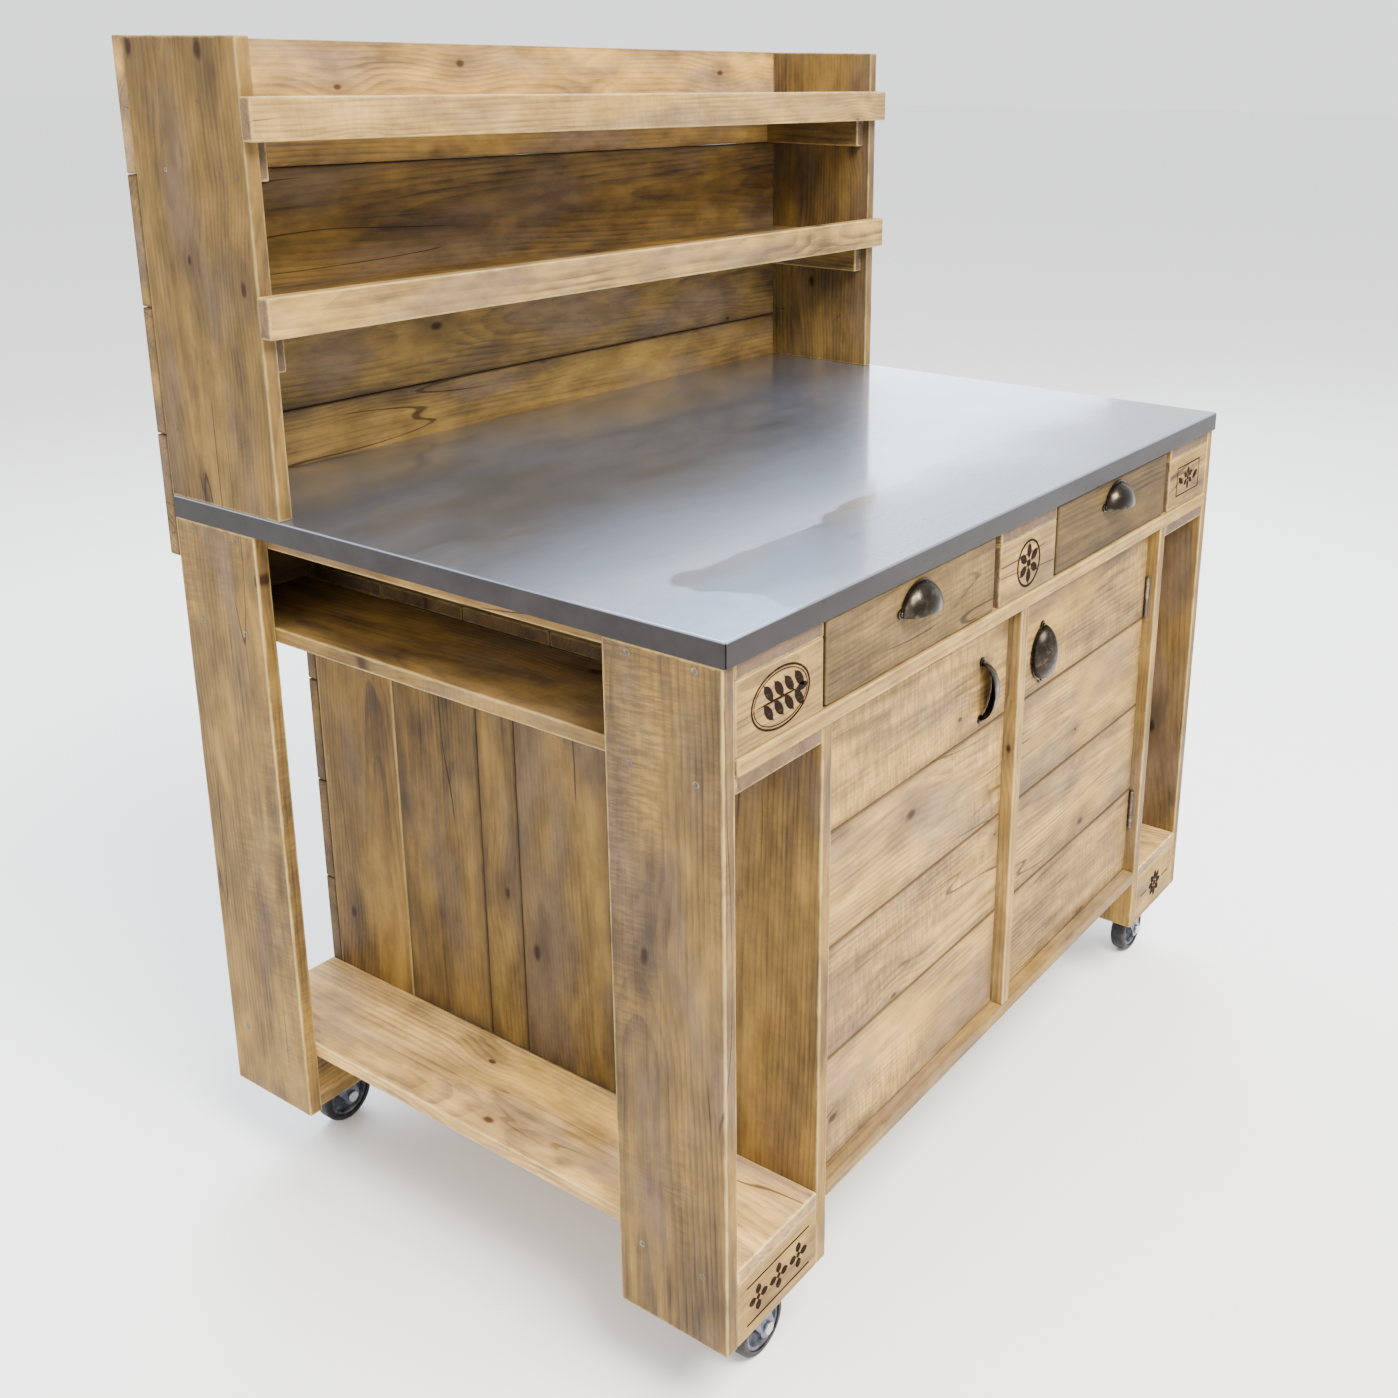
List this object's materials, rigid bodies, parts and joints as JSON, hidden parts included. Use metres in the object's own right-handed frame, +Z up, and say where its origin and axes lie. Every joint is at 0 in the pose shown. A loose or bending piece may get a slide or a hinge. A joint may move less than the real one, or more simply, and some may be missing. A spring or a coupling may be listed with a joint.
{
  "type": "potting bench",
  "caption": "Wooden potting bench on swivel casters with a metal-clad worktop, drawers, a cupboard with hinged doors, open end bays and a shelved upstand.",
  "frame": {"origin": "on the floor, under the centre of the overall box", "axes": "+Z up, -Y towards the person who works at the bench, +X to their right"},
  "size_m": [1.2, 0.851, 1.41],
  "materials": {
    "pine_light": "brushed pine, pale wash",
    "pine_brown": "brushed pine, brown stain",
    "plywood": "birch plywood",
    "sheet_metal": "galvanised sheet, smudged",
    "bronze": "dark antique bronze",
    "zinc": "zinc plated",
    "screw": "yellow passivated",
    "magnet": "brown plastic",
    "hub": "dark grey plastic",
    "tyre": "black rubber"
  },
  "bodies": {
    "root": {"apron_blocks": "pine_light", "back_apron": "pine_brown", "base_blocks": "pine_light", "bottom_shelves": "pine_light", "cabinet_back": "pine_brown", "cabinet_floor": "pine_light", "cabinet_sides": "pine_brown", "caster_pads": "pine_brown", "caster_plates": "zinc", "centre_stile": "pine_light", "door_catches": "magnet", "drawer_deck": "pine_brown", "drawer_guides": "pine_brown", "frame_hinges": "zinc", "frame_screws": "screw", "front_rail": "pine_light", "hutch_back": "pine_light", "hutch_cleats": "pine_brown", "hutch_lips": "pine_light", "hutch_shelves": "pine_light", "hutch_sides": "pine_brown", "inner_legs": "pine_light", "legs_back": "pine_brown", "legs_front": "pine_brown", "side_shelves": "pine_brown", "top_bearers": "pine_brown", "worktop_board": "plywood", "worktop_sheet": "sheet_metal"},
    "drawer_left": {"drawer_left_front": "pine_light", "drawer_left_box": "plywood", "drawer_left_bottom": "plywood", "drawer_left_pull": "bronze"},
    "door_left": {"door_left_boards": "pine_light", "door_left_battens": "pine_brown", "door_left_fittings": "zinc", "door_left_pull": "bronze"},
    "drawer_right": {"drawer_right_front": "pine_light", "drawer_right_box": "plywood", "drawer_right_bottom": "plywood", "drawer_right_pull": "bronze"},
    "door_right": {"door_right_boards": "pine_light", "door_right_battens": "pine_brown", "door_right_fittings": "zinc", "door_right_pull": "bronze"},
    "caster_front_left": {"fork_front_left": "zinc", "axle_front_left": "zinc"},
    "wheel_front_left": {"wheel_front_left": "hub", "tyre_front_left": "tyre"},
    "caster_front_right": {"fork_front_right": "zinc", "axle_front_right": "zinc"},
    "wheel_front_right": {"wheel_front_right": "hub", "tyre_front_right": "tyre"},
    "caster_back_left": {"fork_back_left": "zinc", "axle_back_left": "zinc"},
    "wheel_back_left": {"wheel_back_left": "hub", "tyre_back_left": "tyre"},
    "caster_back_right": {"fork_back_right": "zinc", "axle_back_right": "zinc"},
    "wheel_back_right": {"wheel_back_right": "hub", "tyre_back_right": "tyre"}
  },
  "joints": [
    {"name": "drawer_left_slide", "type": "slide", "parent": "root", "child": "drawer_left", "axis": [0, -1, 0], "range_m": [0, 0.32]},
    {"name": "drawer_right_slide", "type": "slide", "parent": "root", "child": "drawer_right", "axis": [0, -1, 0], "range_m": [0, 0.32]},
    {"name": "door_left_hinge", "type": "hinge", "parent": "root", "child": "door_left", "pos_m": [-0.416, -0.3913, 0.483], "axis": [0, 0, -1], "range_deg": [0, 110]},
    {"name": "door_right_hinge", "type": "hinge", "parent": "root", "child": "door_right", "pos_m": [0.416, -0.3913, 0.483], "axis": [0, 0, 1], "range_deg": [0, 110]},
    {"name": "caster_front_left_swivel", "type": "hinge", "parent": "root", "child": "caster_front_left", "pos_m": [-0.509, -0.3515, 0.0965], "axis": [0, 0, 1], "continuous": true},
    {"name": "wheel_front_left_spin", "type": "hinge", "parent": "caster_front_left", "child": "wheel_front_left", "pos_m": [-0.482, -0.3515, 0.0375], "axis": [0, 1, 0], "continuous": true},
    {"name": "caster_front_right_swivel", "type": "hinge", "parent": "root", "child": "caster_front_right", "pos_m": [0.509, -0.3515, 0.0965], "axis": [0, 0, 1], "continuous": true},
    {"name": "wheel_front_right_spin", "type": "hinge", "parent": "caster_front_right", "child": "wheel_front_right", "pos_m": [0.536, -0.3515, 0.0375], "axis": [0, 1, 0], "continuous": true},
    {"name": "caster_back_left_swivel", "type": "hinge", "parent": "root", "child": "caster_back_left", "pos_m": [-0.509, 0.3515, 0.0965], "axis": [0, 0, 1], "continuous": true},
    {"name": "wheel_back_left_spin", "type": "hinge", "parent": "caster_back_left", "child": "wheel_back_left", "pos_m": [-0.482, 0.3515, 0.0375], "axis": [0, 1, 0], "continuous": true},
    {"name": "caster_back_right_swivel", "type": "hinge", "parent": "root", "child": "caster_back_right", "pos_m": [0.509, 0.3515, 0.0965], "axis": [0, 0, 1], "continuous": true},
    {"name": "wheel_back_right_spin", "type": "hinge", "parent": "caster_back_right", "child": "wheel_back_right", "pos_m": [0.536, 0.3515, 0.0375], "axis": [0, 1, 0], "continuous": true}
  ]
}
